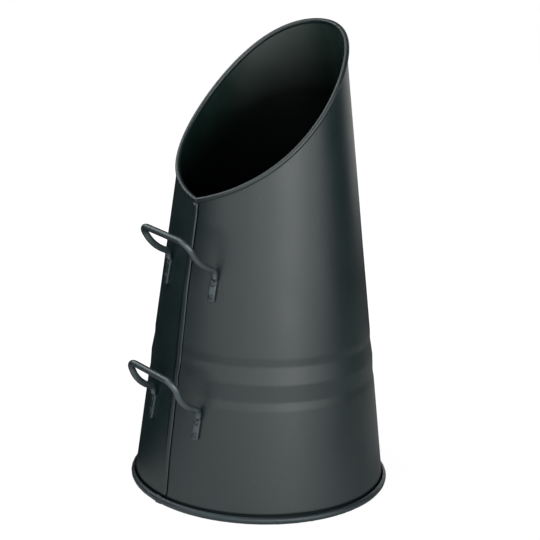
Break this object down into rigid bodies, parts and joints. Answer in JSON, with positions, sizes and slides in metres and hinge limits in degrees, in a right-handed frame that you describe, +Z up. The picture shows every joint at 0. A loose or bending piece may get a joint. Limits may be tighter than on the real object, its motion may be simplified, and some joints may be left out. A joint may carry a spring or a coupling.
{
  "type": "tapered fireside hod",
  "caption": "Tapered sheet-steel hod with a slanted wired mouth, a swaged band, a lock seam, a rolled foot ring and riveted rod handles.",
  "frame": {"origin": "centre of the foot ring's flat underside", "axes": "+Z up along the body's axis, -Y towards the front, which has the seam, the low lip and the handles, +X to the right as seen from the front"},
  "size_m": [0.3089, 0.3316, 0.5448],
  "materials": {
    "painted_sheet": "satin black paint over rolled steel sheet",
    "plain_wire": "dull drawn wire, shut in the rolled rim",
    "painted_rod": "satin black paint over forged round rod",
    "painted_rivet": "satin black paint over hammered heads"
  },
  "bodies": {
    "root": {"body_shell": "painted_sheet", "rim_wire": "plain_wire", "base_pan": "painted_sheet", "foot_ring": "painted_sheet", "upper_handle": "painted_rod", "lower_handle": "painted_rod", "upper_handle_rivets": "painted_rivet", "lower_handle_rivets": "painted_rivet"}
  },
  "joints": []
}
